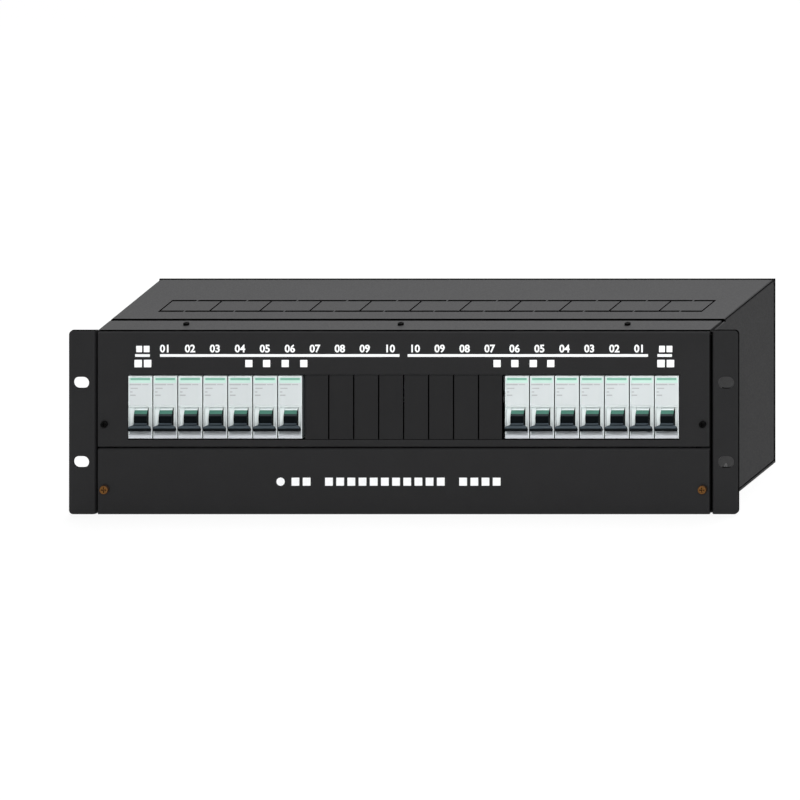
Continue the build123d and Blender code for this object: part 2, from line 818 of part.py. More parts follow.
# Comb busbars under each group, their teeth in the lower terminals, and the covers round them
shoulder_bottom = window_rise - half_body
comb_plane = Plane.XZ.offset(-mouth_y)
for name, side in (("a", -1), ("b", 1)):
    centre_x = side * group_centre
    teeth_x = [centre_x + (n - (group_count - 1) / 2) * module_pitch for n in range(group_count)]
    comb_length = (group_count - 1) * module_pitch + comb_tooth_width + 2 * comb_end
    comb_top = shoulder_bottom - comb_drop
    with BuildPart() as comb_busbar:
        with BuildSketch(comb_plane):
            with Locations((centre_x, comb_top - comb_height / 2)):
                Rectangle(comb_length, comb_height)
            tooth_length = comb_drop + comb_tooth_reach
            with Locations(*[(x, comb_top + tooth_length / 2) for x in teeth_x]):
                Rectangle(comb_tooth_width, tooth_length)
        extrude(amount=comb_strip / 2, both=True)
    save(comb_busbar.part, "comb_busbar_" + name)
    with BuildPart() as comb_cover:
        room = comb_strip / 2 + comb_cover_play
        cover_half = room + comb_cover_wall
        cover_low = comb_top - comb_height - comb_cover_play
        cover_high = shoulder_bottom - comb_cover_top_gap
        cover_length = comb_length + 2 * comb_cover_end
        with BuildSketch(Plane.XY.offset(cover_low - comb_cover_wall)):
            with Locations((centre_x, mouth_y)):
                Rectangle(cover_length, 2 * cover_half)
        extrude(amount=cover_high - cover_low + comb_cover_wall)
        with BuildSketch(Plane.XY.offset(cover_low)):
            with Locations((centre_x, mouth_y)):
                Rectangle(comb_length + 2 * comb_cover_play, 2 * room)
        extrude(amount=cover_high - cover_low, mode=Mode.SUBTRACT)
    save(comb_cover.part, "comb_cover_" + name)

# Return bars behind the lower cover, with their clamping screws and the feet that hold them
bar_low = base_top + bar_rise
bar_middle = bar_low + bar_height / 2
bar_back = bar_front + bar_thickness
bar_centre = (bar_gap + bar_length) / 2
bar_face = Plane(origin=(0, bar_front, 0), x_dir=(1, 0, 0), z_dir=(0, -1, 0))
bar_screw_places = []
for name, side in (("a", -1), ("b", 1)):
    places = [
        (side * bar_centre + (n - (bar_screw_count - 1) / 2) * bar_screw_pitch, bar_middle)
        for n in range(bar_screw_count)
    ]
    bar_screw_places += places
    with BuildPart() as return_bar:
        with BuildSketch(bar_face):
            with Locations((side * bar_centre, bar_middle)):
                Rectangle(bar_length, bar_height)
            with Locations(*places):
                Circle(bar_screw_shank + screw_play, mode=Mode.SUBTRACT)
        extrude(amount=-bar_thickness)
        chamfer(return_bar.edges().filter_by(Axis.X), foot_play)
    save(return_bar.part, "return_bar_" + name)

with BuildPart() as bar_feet:
    foot_x = [
        side * bar_centre + end * (bar_length / 2 - foot_inset) for side in (-1, 1) for end in (-1, 1)
    ]
    slot_front = bar_front - foot_play
    slot_back = bar_back + foot_play
    foot_outline = [
        (slot_front - foot_wall - foot_lip, base_top),
        (slot_back + foot_wall + foot_lip, base_top),
        (slot_back + foot_wall + foot_lip, base_top + foot_lip),
        (slot_back + foot_wall, base_top + foot_lip),
        (slot_back + foot_wall, base_top + foot_height),
        (slot_back, base_top + foot_height),
        (slot_back, bar_low),
        (slot_front, bar_low),
        (slot_front, base_top + foot_height),
        (slot_front - foot_wall, base_top + foot_height),
        (slot_front - foot_wall, base_top + foot_lip),
        (slot_front - foot_wall - foot_lip, base_top + foot_lip),
    ]
    for x in foot_x:
        with BuildSketch(Plane.YZ.offset(x)):
            with BuildLine():
                Polyline(*foot_outline, close=True)
            make_face()
        extrude(amount=foot_width / 2, both=True)
save(bar_feet.part, "bar_feet")

with BuildPart() as bar_screws:
    with BuildSketch(bar_face):
        with Locations(*bar_screw_places):
            RegularPolygon(bar_screw_flats / 2, 6, major_radius=False)
    extrude(amount=bar_screw_height)
    with BuildSketch(bar_face):
        with Locations(*bar_screw_places):
            Circle(bar_screw_shank)
    extrude(amount=-bar_thickness)
save(bar_screws.part, "bar_screws")

# Screws of the front, top flange, rail and terminals
with BuildPart() as flange_screws:
    pan_screws(
        top_plane,
        flange_places,
        flange_screw_head,
        flange_screw_height,
        flange_screw_shank,
        flange_screw_length,
    )
save(flange_screws.part, "flange_screws")

with BuildPart() as panel_screws:
    pan_screws(
        front_plane,
        panel_screw_places,
        panel_screw_head,
        panel_screw_height,
        panel_screw_shank,
        panel_screw_length,
    )
save(panel_screws.part, "panel_screws")

with BuildPart() as cover_screws:
    pan_screws(
        front_plane,
        cover_screw_places,
        cover_screw_head,
        cover_screw_height,
        cover_screw_shank,
        cover_screw_length,
    )
save(cover_screws.part, "cover_screws")

with BuildPart() as rail_screws:
    web_face = Plane(
        origin=(0, bracket_y - rail_sheet, window_rise), x_dir=(1, 0, 0), z_dir=(0, -1, 0)
    )
    pan_screws(
        web_face,
        [(-rail_screw_x, 0), (rail_screw_x, 0)],
        rail_screw_head,
        rail_screw_height,
        rail_screw_shank,
        rail_screw_length,
    )
save(rail_screws.part, "rail_screws")

with BuildPart() as terminal_screws:
    # The shank ends just in front of the comb's teeth
    shank_end = mouth_y - comb_strip / 2 - comb_cover_play
    shank_start = mouth_y - terminal_depth / 2
    seat_plane = Plane(origin=(0, shank_start, 0), x_dir=(1, 0, 0), z_dir=(0, -1, 0))
    terminal_places = [
        (x, window_rise + end * terminal_offset) for x in breakers.values() for end in (-1, 1)
    ]
    with BuildSketch(seat_plane):
        with Locations(*terminal_places):
            Circle(terminal_screw_head)
    extrude(amount=terminal_screw_height)
    with BuildSketch(seat_plane):
        with Locations(*terminal_places):
            Circle(terminal_screw_shank)
    extrude(amount=shank_start - shank_end)
save(terminal_screws.part, "terminal_screws")

# Countersunk screws of the base, rear panel and ears
with BuildPart() as case_screws:
    flat_screws(bottom_plane, base_places)
    flat_screws(rear_plane, rear_side_places + rear_edge_places)
    for side in (-1, 1):
        leg_plane = Plane(
            origin=(side * (half_width + panel_sheet), 0, 0), x_dir=(0, 1, 0), z_dir=(side, 0, 0)
        )
        flat_screws(leg_plane, [(y, z * side) for y, z in ear_places])
save(case_screws.part, "case_screws")

# Earth stud through the rear panel, headed inside, with its nut outside
with BuildPart() as earth_stud:
    with BuildSketch(rear_plane.offset(-case_sheet)):
        with Locations((-stud_x, stud_z)):
            Circle(stud_head_radius)
    extrude(amount=-stud_head)
    with BuildSketch(rear_plane.offset(-case_sheet)):
        with Locations((-stud_x, stud_z)):
            Circle(stud_radius)
    extrude(amount=case_sheet + stud_length)
save(earth_stud.part, "earth_stud")

with BuildPart() as earth_nut:
    with BuildSketch(rear_plane):
        with Locations((-stud_x, stud_z)):
            RegularPolygon(nut_width / 2, 6, major_radius=False)
            Circle(stud_radius + screw_play, mode=Mode.SUBTRACT)
    extrude(amount=nut_height)
save(earth_nut.part, "earth_nut")
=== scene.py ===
import json
import math
import bmesh
import bpy
from mathutils import Matrix, Vector


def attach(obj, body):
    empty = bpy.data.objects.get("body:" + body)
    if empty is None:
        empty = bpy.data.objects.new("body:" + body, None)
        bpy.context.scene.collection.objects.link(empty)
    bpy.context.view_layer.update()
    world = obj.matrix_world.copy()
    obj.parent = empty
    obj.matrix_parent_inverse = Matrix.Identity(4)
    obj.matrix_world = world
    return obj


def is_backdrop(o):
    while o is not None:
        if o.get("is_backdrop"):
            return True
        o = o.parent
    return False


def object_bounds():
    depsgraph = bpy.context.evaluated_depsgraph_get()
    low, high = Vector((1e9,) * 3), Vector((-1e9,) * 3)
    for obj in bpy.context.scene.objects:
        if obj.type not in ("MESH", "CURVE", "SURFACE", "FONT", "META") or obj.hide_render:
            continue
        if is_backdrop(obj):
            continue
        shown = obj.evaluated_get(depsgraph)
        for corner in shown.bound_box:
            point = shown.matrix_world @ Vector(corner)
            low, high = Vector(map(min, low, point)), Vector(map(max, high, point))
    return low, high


# Dresses the rack distribution unit. Lengths are in mm, and in metres for the floor and its fade, the lamps,
# and the camera's distance, clipping and width of view
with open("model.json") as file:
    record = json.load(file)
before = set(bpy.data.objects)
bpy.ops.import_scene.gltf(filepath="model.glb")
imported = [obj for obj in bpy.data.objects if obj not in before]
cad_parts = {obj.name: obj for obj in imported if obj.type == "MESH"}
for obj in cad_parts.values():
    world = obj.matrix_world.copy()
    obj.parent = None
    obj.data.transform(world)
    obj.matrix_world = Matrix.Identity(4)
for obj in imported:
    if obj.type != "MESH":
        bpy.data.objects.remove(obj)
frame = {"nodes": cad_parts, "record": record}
cad_low, cad_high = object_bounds()
nodes = frame["nodes"]
scene = bpy.context.scene
MM = 0.001

# Places that the dressing shares with the frame
MODULE = 18.0
LEFT_START = -10.5
RIGHT_START = 4.5
GROUP_SHIFT = 0.8
PANEL_FRONT = -2.0
FIELD_FLOOR = -2.2
PIVOT_Y = 7.0
PIVOT_Z = 2.4
DRUM = 9.5
LEVER = math.radians(33.0)
LEFT = ["a_input", "a1", "a2", "a3", "a4", "a5", "a6"]
RIGHT = ["b6", "b5", "b4", "b3", "b2", "b1", "b_input"]
CENTRES = {name: (i + LEFT_START) * MODULE - GROUP_SHIFT for i, name in enumerate(LEFT)}
CENTRES.update({name: (i + RIGHT_START) * MODULE + GROUP_SHIFT for i, name in enumerate(RIGHT)})


# Materials
def linear(red, green, blue):
    """Turns a display colour of 0 to 255 into the shader's colour."""
    parts = []
    for part in (red, green, blue):
        share = part / 255
        parts.append(share / 12.92 if share <= 0.04045 else ((share + 0.055) / 1.055) ** 2.4)
    return (*parts, 1.0)


def shade(colour, amount):
    """A lighter or darker copy of a colour."""
    return (*(min(1.0, part * amount) for part in colour[:3]), 1.0)


# Distance between two bands of the wave texture at scale 1
WAVE_LENGTH = math.tau / 20
# Part of the noise that takes the drift from one colour to the other, and the gloss from rough to smooth
DRIFT_SPAN = (0.35, 0.65)
GLOSS_SPAN = (0.3, 0.7)
DRIFT_DETAIL = 5.0
DRIFT_ROUGHNESS = 0.6
SPECK_DETAIL = 3.0
BUMP_STRENGTH = 0.6
THREAD_DEPTH = 0.3
BEVEL_SAMPLES = 4


def surface(
    name,
    colour,
    rough,
    level=0.5,
    metal=0.0,
    mottle=0.05,
    mottle_size=25.0,
    grain=0.6,
    height=0.01,
    rough_vary=0.06,
    stretch=(1.0, 1.0, 1.0),
    edge=0.0,
    thread=0.0,
):
    """Builds one finish: slow colour drift, uneven gloss, a fine bump, soft edges and a thread, all in mm."""
    mat = bpy.data.materials.new(name)
    mat.use_nodes = True
    tree = mat.node_tree
    make = tree.nodes.new
    link = tree.links.new
    shader = tree.nodes["Principled BSDF"]
    shader.inputs["Metallic"].default_value = metal
    shader.inputs["Specular IOR Level"].default_value = level
    place = make("ShaderNodeTexCoord")
    scale = make("ShaderNodeMapping")
    scale.inputs["Scale"].default_value = stretch
    link(place.outputs["Object"], scale.inputs["Vector"])
    drift = make("ShaderNodeTexNoise")
    drift.inputs["Scale"].default_value = 1 / (mottle_size * MM)
    drift.inputs["Detail"].default_value = DRIFT_DETAIL
    drift.inputs["Roughness"].default_value = DRIFT_ROUGHNESS
    link(scale.outputs["Vector"], drift.inputs["Vector"])
    speck = make("ShaderNodeTexNoise")
    speck.inputs["Scale"].default_value = 1 / (grain * MM)
    speck.inputs["Detail"].default_value = SPECK_DETAIL
    link(scale.outputs["Vector"], speck.inputs["Vector"])
    tone = make("ShaderNodeMix")
    tone.data_type = "RGBA"
    tone.inputs["A"].default_value = shade(colour, 1 - mottle)
    tone.inputs["B"].default_value = shade(colour, 1 + mottle)
    spread = make("ShaderNodeMapRange")
    spread.inputs["From Min"].default_value = DRIFT_SPAN[0]
    spread.inputs["From Max"].default_value = DRIFT_SPAN[1]
    link(drift.outputs["Fac"], spread.inputs["Value"])
    link(spread.outputs["Result"], tone.inputs["Factor"])
    link(tone.outputs["Result"], shader.inputs["Base Color"])
    gloss = make("ShaderNodeMapRange")
    gloss.inputs["From Min"].default_value = GLOSS_SPAN[0]
    gloss.inputs["From Max"].default_value = GLOSS_SPAN[1]
    gloss.inputs["To Min"].default_value = rough - rough_vary
    gloss.inputs["To Max"].default_value = rough + rough_vary
    link(speck.outputs["Fac"], gloss.inputs["Value"])
    link(gloss.outputs["Result"], shader.inputs["Roughness"])
    bump = make("ShaderNodeBump")
    bump.inputs["Strength"].default_value = BUMP_STRENGTH
    bump.inputs["Distance"].default_value = height * MM
    link(speck.outputs["Fac"], bump.inputs["Height"])
    link(bump.outputs["Normal"], shader.inputs["Normal"])
    if edge:
        soft = make("ShaderNodeBevel")
        soft.samples = BEVEL_SAMPLES
        soft.inputs["Radius"].default_value = edge * MM
        link(soft.outputs["Normal"], bump.inputs["Normal"])
    if thread:
        turns = make("ShaderNodeTexWave")
        turns.bands_direction = "Y"
        turns.inputs["Scale"].default_value = WAVE_LENGTH / (thread * MM)
        link(place.outputs["Object"], turns.inputs["Vector"])
        ridge = make("ShaderNodeBump")
        ridge.inputs["Distance"].default_value = THREAD_DEPTH * MM
        link(turns.outputs["Fac"], ridge.inputs["Height"])
        link(ridge.outputs["Normal"], bump.inputs["Normal"])
    return mat


# Settings that like finishes share
COATED = {"grain": 0.9, "height": 0.03}
MOULDED = {"grain": 0.3, "height": 0.008}
HANDLE = {"grain": 0.35, "height": 0.008}
FILM = {"level": 0.4, "grain": 0.2, "height": 0.003}
PLATED = {"metal": 1.0, "mottle": 0.1, "mottle_size": 6.0, "grain": 0.5, "height": 0.004}
SCREW = {"mottle_size": 2.0, "grain": 0.3, "height": 0.006}

POWDER = surface("powder_coat", linear(28, 28, 29), 0.6, level=0.17, edge=0.3, **COATED)
# Painted shade: a darker copy of the powder coat for the bends, the cut ends and the ears' seam-facing sides
EDGE_SHADE = surface("powder_coat_painted_shade", linear(21, 21, 22), 0.6, level=0.12, **COATED)
# Painted shade: near black for the seams, slots, grooves, screw recesses, bend lines and ear outlines
SEAM = surface("seam_shadow", linear(2, 2, 2), 0.9, level=0.0, grain=0.9, height=0.02)
HOUSING = surface("housing_plastic", linear(222, 229, 229), 0.5, level=0.4, mottle=0.02, edge=0.3, **MOULDED)
# Painted shade: a darker grey copy of the housing plastic on the breaker cases' flanks, for the line between modules
FLANK_SHADE = surface("housing_side_painted_shade", linear(84, 88, 90), 0.6, level=0.2, **MOULDED)
# Painted shade: a greyer copy of the housing plastic on the ledge and ramp under the lever
LEDGE_SHADE = surface("housing_ledge_painted_shade", linear(186, 190, 194), 0.5, level=0.4, mottle=0.02, edge=0.3, **MOULDED)
TOGGLE = surface("toggle_plastic", linear(6, 11, 14), 0.45, level=0.035, edge=0.2, **HANDLE)
# Painted light: a lighter copy of the toggle plastic for the lever's top face, where light from above falls
LEVER_TOP_LIGHT = surface("toggle_top_painted_light", linear(62, 72, 79), 0.5, level=0.2, **HANDLE)
GREEN = surface("toggle_green", linear(66, 116, 101), 0.45, level=0.3, grain=0.35, height=0.006)
BAND_GREY = surface("toggle_grey", linear(34, 42, 45), 0.45, level=0.25, grain=0.35, height=0.006)
BLANK = surface("blank_plastic", linear(25, 25, 26), 0.55, level=0.16, grain=0.35, height=0.01, edge=0.25)
LABEL = surface("label_film", linear(198, 204, 205), 0.35, mottle=0.015, **FILM)
PALE_GREEN = surface("label_pale_green", linear(188, 219, 208), 0.35, mottle=0.02, **FILM)
STRIPE = surface("label_green", linear(118, 170, 150), 0.35, mottle=0.03, **FILM)
GREY_PRINT = surface("label_grey_print", linear(168, 172, 174), 0.4, mottle=0.04, **FILM)
PRINT = surface("white_print", linear(246, 247, 248), 0.45, level=0.3, mottle=0.02, grain=0.25, height=0.004)
ZINC = surface("zinc_plate", linear(196, 198, 200), 0.34, **PLATED)
STUD = surface("zinc_thread", linear(196, 198, 200), 0.34, thread=1.0, **PLATED)
BLACK_SCREW = surface("black_screw_finish", linear(3, 3, 3), 0.5, level=0.05, grain=0.3, height=0.006)
CASE_SCREW = surface("case_screw_finish", linear(14, 14, 15), 0.38, level=0.35, mottle=0.1, **SCREW)
COPPER_SCREW = surface(
    "copper_screw_finish", linear(100, 64, 18), 0.5, level=0.3, metal=0.3, mottle=0.12, **SCREW
)
# Painted shade: a darker copy of the copper finish for the screw heads' sides
COPPER_SIDE_SHADE = surface(
    "copper_screw_painted_shade", linear(46, 30, 17), 0.55, level=0.15, metal=0.3, mottle=0.12, **SCREW
)
COPPER = surface(
    "copper_bar",
    linear(206, 132, 96),
    0.3,
    metal=1.0,
    mottle=0.08,
    mottle_size=8.0,
    grain=0.5,
    height=0.006,
    stretch=(0.08, 1.0, 1.0),
)
INSULATION = surface("insulation_plastic", linear(170, 60, 48), 0.5, level=0.4, **MOULDED)
RUBBER = surface("grommet_rubber", linear(24, 24, 25), 0.7, level=0.3, grain=0.4, height=0.02)

FINISH = {
    "black_powder_coat": POWDER,
    "breaker_housing": HOUSING,
    "toggle_moulding": TOGGLE,
    "blank_moulding": BLANK,
    "zinc_plated_steel": ZINC,
    "black_screw": BLACK_SCREW,
    "copper_screw": COPPER_SCREW,
    "copper": COPPER,
    "insulation": INSULATION,
    "black_rubber": RUBBER,
}
for entry in frame["record"]["subparts"]:
    mesh = nodes[entry["node"]].data
    mesh.materials.clear()
    mesh.materials.append(FINISH[entry["material_slot"]])
nodes["case_screws"].data.materials[0] = CASE_SCREW
nodes["earth_stud"].data.materials[0] = STUD


def paint(node, material, test):
    """Gives a material to the faces of a node whose middle in mm and direction pass a test; each use below paints
    shade.
    """
    mesh = nodes[node].data
    mesh.materials.append(material)
    for polygon in mesh.polygons:
        if test(polygon.center / MM, polygon.normal):
            polygon.material_index = len(mesh.materials) - 1


# Limits of the painted places
EAR_SEAM_BACK = 2.5
FLANGE_SEAM = (20, 30)
BREAK_OUTS = (35, 75)
TOP_INSIDE = 64.5
RAIL_TOP = 62
CASE_SIDE = 221
CASE_RIM = 65.5
WINDOW_HALF = 200
WINDOW_TOP = 40
PANEL_END = 219
EAR_CORNER = 237
EAR_LIP = 4
GROOVE = (-1.9, -0.5)
LEDGE_TOP = -3
LEDGE_BACK = 1.5
CASE_FLANK = 8.4
# Limits of a face's direction: square to an axis, along it, and from side to top for the strips of the bends
SQUARE = 0.9
HALF_SQUARE = 0.5
FLAT = 0.1
FORWARD = 0.2
BEND_SIDE = 0.2
BEND_RISE = (0.3, 0.97)
CREASE_SIDE = 0.35
CREASE_RISE = (0.55, 0.8)
PANEL_BEND_RISE = (0.65, 0.97)
SCREW_FACE = 0.95
RAMP_FORWARD = 0.05
LEVER_SQUARE = 0.99

# Painted shade. Black where light doesn't reach: behind the ear seams, at the flange seam, in the break-out slots and
# grooves, on the rim of the rear panel and the sharp middle of the bends. A darker copy of the coat as painted shade
# on the rest of the bends and on cut ends
paint("chassis_shell", SEAM, lambda c, n: n.y < -FORWARD and c.y < EAR_SEAM_BACK)
paint("chassis_shell", SEAM, lambda c, n: n.y < -SQUARE and FLANGE_SEAM[0] < c.y < FLANGE_SEAM[1])
paint(
    "chassis_shell",
    SEAM,
    lambda c, n: abs(n.z) < FLAT and c.z > TOP_INSIDE and BREAK_OUTS[0] < c.y < BREAK_OUTS[1],
)
paint("chassis_shell", EDGE_SHADE, lambda c, n: abs(n.x) > BEND_SIDE and BEND_RISE[0] < n.z < BEND_RISE[1])
paint("chassis_shell", SEAM, lambda c, n: abs(n.x) > CREASE_SIDE and CREASE_RISE[0] < n.z < CREASE_RISE[1])
paint("rear_panel", SEAM, lambda c, n: abs(n.y) < FLAT and (abs(c.x) > CASE_SIDE or abs(c.z) > CASE_RIM))
paint("front_top_rail", SEAM, lambda c, n: c.z > RAIL_TOP)
# Painted shade: a black line along the panel's top bend and round the window
paint("upper_front_panel", SEAM, lambda c, n: n.y < -FLAT and PANEL_BEND_RISE[0] < n.z < PANEL_BEND_RISE[1])
paint("upper_front_panel", SEAM, lambda c, n: abs(n.y) < FLAT and abs(c.x) < WINDOW_HALF and c.z < WINDOW_TOP)
# Painted shade: the darker copy of the coat on the panels' cut ends
for node in ("upper_front_panel", "lower_front_cover"):
    paint(node, EDGE_SHADE, lambda c, n: abs(n.x) > SQUARE and abs(c.x) > PANEL_END)
# Painted shade: black on the ears' outer and top edges, the darker copy of the coat on their seam-facing sides
for node, side in (("left_rack_ear", -1), ("right_rack_ear", 1)):
    paint(
        node,
        SEAM,
        lambda c, n: abs(n.y) < FLAT and c.y < 0 and (abs(c.x) > EAR_CORNER and n.z > -HALF_SQUARE or n.z > SQUARE),
    )
    paint(node, EDGE_SHADE, lambda c, n: side * n.x < -HALF_SQUARE and c.y < EAR_LIP)
# Painted shade: the copper screws darker on all but their front faces
paint("cover_screws", COPPER_SIDE_SHADE, lambda c, n: n.y > -SCREW_FACE)
for node in ("blank_strip_a", "blank_strip_b"):
    paint(node, SEAM, lambda c, n: GROOVE[0] < c.y < GROOVE[1] and abs(n.z) < FLAT)
# Painted shade on each breaker case: a greyer ledge and ramp under the lever, darker flanks between the modules
for name, middle in CENTRES.items():
    case = "breaker_case_" + name
    paint(case, LEDGE_SHADE, lambda c, n: c.z < LEDGE_TOP and c.y < LEDGE_BACK and n.y < -RAMP_FORWARD)
    paint(case, FLANK_SHADE, lambda c, n: abs(n.x) > SQUARE and abs(c.x - middle) > CASE_FLANK)


# Mesh helpers
CORNER_STEPS = 3


def piece(name, mesh, materials, body):
    """Turns a finished bmesh into a shown piece that moves with a body."""
    data = bpy.data.meshes.new(name)
    mesh.to_mesh(data)
    mesh.free()
    for material in materials:
        data.materials.append(material)
    made = bpy.data.objects.new(name, data)
    scene.collection.objects.link(made)
    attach(made, body)
    return made


def slab(mesh, x, z, width, height, back, front, corner=0.15, material=0):
    """Adds a thin plate with rounded corners, facing the front, from its middle and sizes in mm."""
    ring = []
    for quarter in range(4):
        turn = math.radians(90 * quarter)
        side_x = 1 if quarter in (0, 3) else -1
        side_z = 1 if quarter in (0, 1) else -1
        for step in range(CORNER_STEPS + 1):
            angle = turn + math.radians(90 * step / CORNER_STEPS)
            ring.append(
                (
                    x + side_x * (width / 2 - corner) + corner * math.cos(angle),
                    z + side_z * (height / 2 - corner) + corner * math.sin(angle),
                )
            )
    rear = [mesh.verts.new((px * MM, back * MM, pz * MM)) for px, pz in ring]
    face = [mesh.verts.new((px * MM, front * MM, pz * MM)) for px, pz in ring]
    faces = [mesh.faces.new(face), mesh.faces.new(list(reversed(rear)))]
    for i in range(len(ring)):
        j = (i + 1) % len(ring)
        faces.append(mesh.faces.new((rear[i], rear[j], face[j], face[i])))
    for made in faces:
        made.material_index = material


# Breaker labels: film in the recessed field, a green head stripe and grey bars in place of print.
# Each entry gives the offset from the module's middle, the height of the middle, the width and the height
FILM_FRONT = FIELD_FLOOR - 0.08
INK_FRONT = FIELD_FLOOR - 0.1
STRIPE_FRONT = FIELD_FLOOR - 0.12
FILM_SHAPE = (22.25, 15.9, 20.2)
HEAD_SHAPE = (30.4, 15.7, 3.7)
STRIPE_SHAPE = (31.3, 14.0, 1.6)
FILM_CORNER = 0.3
INK_CORNER = 0.2
GREY_BARS = [
    (-3.55, 27.3, 8.4, 0.9),
    (3.6, 27.3, 4.6, 0.7),
    (-4.4, 24.6, 5.2, 0.7),
    (-6.4, 22.0, 1.8, 0.8),
    (-5.3, 19.6, 4.0, 0.9),
]
for name, centre in CENTRES.items():
    label = bmesh.new()
    slab(label, centre, *FILM_SHAPE, FIELD_FLOOR, FILM_FRONT, FILM_CORNER, 0)
    slab(label, centre, *HEAD_SHAPE, FILM_FRONT, INK_FRONT, INK_CORNER, 1)
    slab(label, centre, *STRIPE_SHAPE, INK_FRONT, STRIPE_FRONT, INK_CORNER, 2)
    for x, z, width, height in GREY_BARS:
        slab(label, centre + x, z, width, height, FILM_FRONT, INK_FRONT, INK_CORNER, 3)
    piece("label_" + name, label, [LABEL, PALE_GREEN, STRIPE, GREY_PRINT], "chassis")

# Toggle bands: a white, a green and a grey strip round the drum above the lever, from and to an angle in degrees
BANDS = ((38.0, 54.0, 2), (22.0, 38.0, 0), (13.0, 22.0, 1))
BAND_HALF = 4.6
BAND_THICKNESS = 0.08
BAND_STEPS = 8
for name, centre in CENTRES.items():
    band = bmesh.new()
    for low, high, material in BANDS:
        rows = []
        for i in range(BAND_STEPS + 1):
            angle = math.radians(low + (high - low) * i / BAND_STEPS)
            row = []
            for radius in (DRUM, DRUM + BAND_THICKNESS):
                y = (PIVOT_Y - radius * math.cos(angle)) * MM
                z = (PIVOT_Z + radius * math.sin(angle)) * MM
                row.append([band.verts.new(((centre + side * BAND_HALF) * MM, y, z)) for side in (-1, 1)])
            rows.append(row)
        for first, second in zip(rows, rows[1:]):
            for a, b, c, d in (
                (first[1][0], first[1][1], second[1][1], second[1][0]),
                (first[0][1], first[0][0], second[0][0], second[0][1]),
                (first[0][0], first[1][0], second[1][0], second[0][0]),
                (first[1][1], first[0][1], second[0][1], second[1][1]),
            ):
                band.faces.new((a, b, c, d)).material_index = material
        for row, order in ((rows[0], 1), (rows[-1], -1)):
            ends = [row[0][0], row[0][1], row[1][1], row[1][0]]
            band.faces.new(ends[::order]).material_index = material
    piece("toggle_band_" + name, band, [GREEN, BAND_GREY, HOUSING], "toggle_" + name)

# Painted light: the lever's top face is a lighter slate copy of the toggle plastic, the rest of the toggle near black
lever_up = Vector((0, -math.sin(LEVER), math.cos(LEVER)))
lever_out = Vector((0, -math.cos(LEVER), -math.sin(LEVER)))
pivot = Vector((0, PIVOT_Y * MM, PIVOT_Z * MM))
for name in CENTRES:
    mesh = nodes["toggle_" + name].data
    mesh.materials.append(LEVER_TOP_LIGHT)
    for polygon in mesh.polygons:
        reach = (polygon.center - pivot).dot(lever_out)
        if polygon.normal.dot(lever_up) > LEVER_SQUARE and reach > DRUM * MM:
            polygon.material_index = len(mesh.materials) - 1


# Panel print: plain numbers over the modules, rules under them and plain blocks in place of words
CAP_SHARE = 0.7
NUMBER_HALF = 0.03
NUMBER_BOLD = 0.2
NUMBER_STEPS = 3


def number(text, x, z, height):
    """A plain number as a thin flat mesh on the panel."""
    curve = bpy.data.curves.new("number", "FONT")
    curve.body = text
    curve.size = height / CAP_SHARE * MM
    curve.align_x = "CENTER"
    curve.align_y = "CENTER"
    curve.extrude = NUMBER_HALF * MM
    curve.offset = NUMBER_BOLD * MM
    curve.resolution_u = NUMBER_STEPS
    holder = bpy.data.objects.new("number", curve)
    flat = holder.to_mesh()
    turned = bmesh.new()
    turned.from_mesh(flat)
    holder.to_mesh_clear()
    bpy.data.objects.remove(holder)
    bpy.data.curves.remove(curve)
    upright = Matrix.Rotation(math.radians(90), 3, "X")
    bmesh.ops.rotate(turned, verts=turned.verts, cent=(0, 0, 0), matrix=upright)
    bmesh.ops.translate(turned, verts=turned.verts, vec=(x * MM, (PANEL_FRONT - NUMBER_HALF) * MM, z * MM))
    return turned


NUMBER_Z = 52.9
NUMBER_HEIGHT = 5.3
NUMBER_COUNT = 10
NUMBER_LEFT = -190.0
NUMBER_RIGHT = 188.0
numbers = bmesh.new()
spare = bpy.data.meshes.new("spare")
for count in range(1, NUMBER_COUNT + 1):
    for x in (NUMBER_LEFT + count * MODULE, NUMBER_RIGHT - count * MODULE):
        digit = number(f"{count:02d}", x, NUMBER_Z, NUMBER_HEIGHT)
        digit.to_mesh(spare)
        digit.free()
        numbers.from_mesh(spare)
piece("print_numbers", numbers, [PRINT], "chassis")

PRINT_FRONT = PANEL_FRONT - 0.06


def ink(mesh, x, z, width, height, corner=0.3):
    """Adds a flat field of print to the panel's face."""
    slab(mesh, x, z, width, height, PANEL_FRONT, PRINT_FRONT, corner)


RULE_Z = 48.2
RULE_HEIGHT = 1.9
RULES = ((-193.6, -183.0), (-175.7, -3.0), (2.9, 176.2), (183.0, 193.5))
rules = bmesh.new()
for left, right in RULES:
    ink(rules, (left + right) / 2, RULE_Z, right - left, RULE_HEIGHT, INK_CORNER)
piece("print_rules", rules, [PRINT], "chassis")

# Blocks give a width and a height, and those beside the inputs first how far each stands from their middle
BLOCK_Z = 42.4
BLOCK = (5.2, 5.2)
INPUT_LOWER = (3.4, 5.4, 5.4)
INPUT_UPPER = (2.7, 4.2, 4.6)
BLOCKS = (-111.6, -98.8, -85.4, -72.0, 67.4, 80.2, 93.5, 106.1)
INPUT_BLOCKS = (-188.0, 189.0)
words = bmesh.new()
for x in BLOCKS:
    ink(words, x, BLOCK_Z, *BLOCK)
for middle in INPUT_BLOCKS:
    for side in (-1, 1):
        ink(words, middle + side * INPUT_LOWER[0], BLOCK_Z, *INPUT_LOWER[1:])
        ink(words, middle + side * INPUT_UPPER[0], NUMBER_Z, *INPUT_UPPER[1:])
piece("print_blocks", words, [PRINT], "chassis")

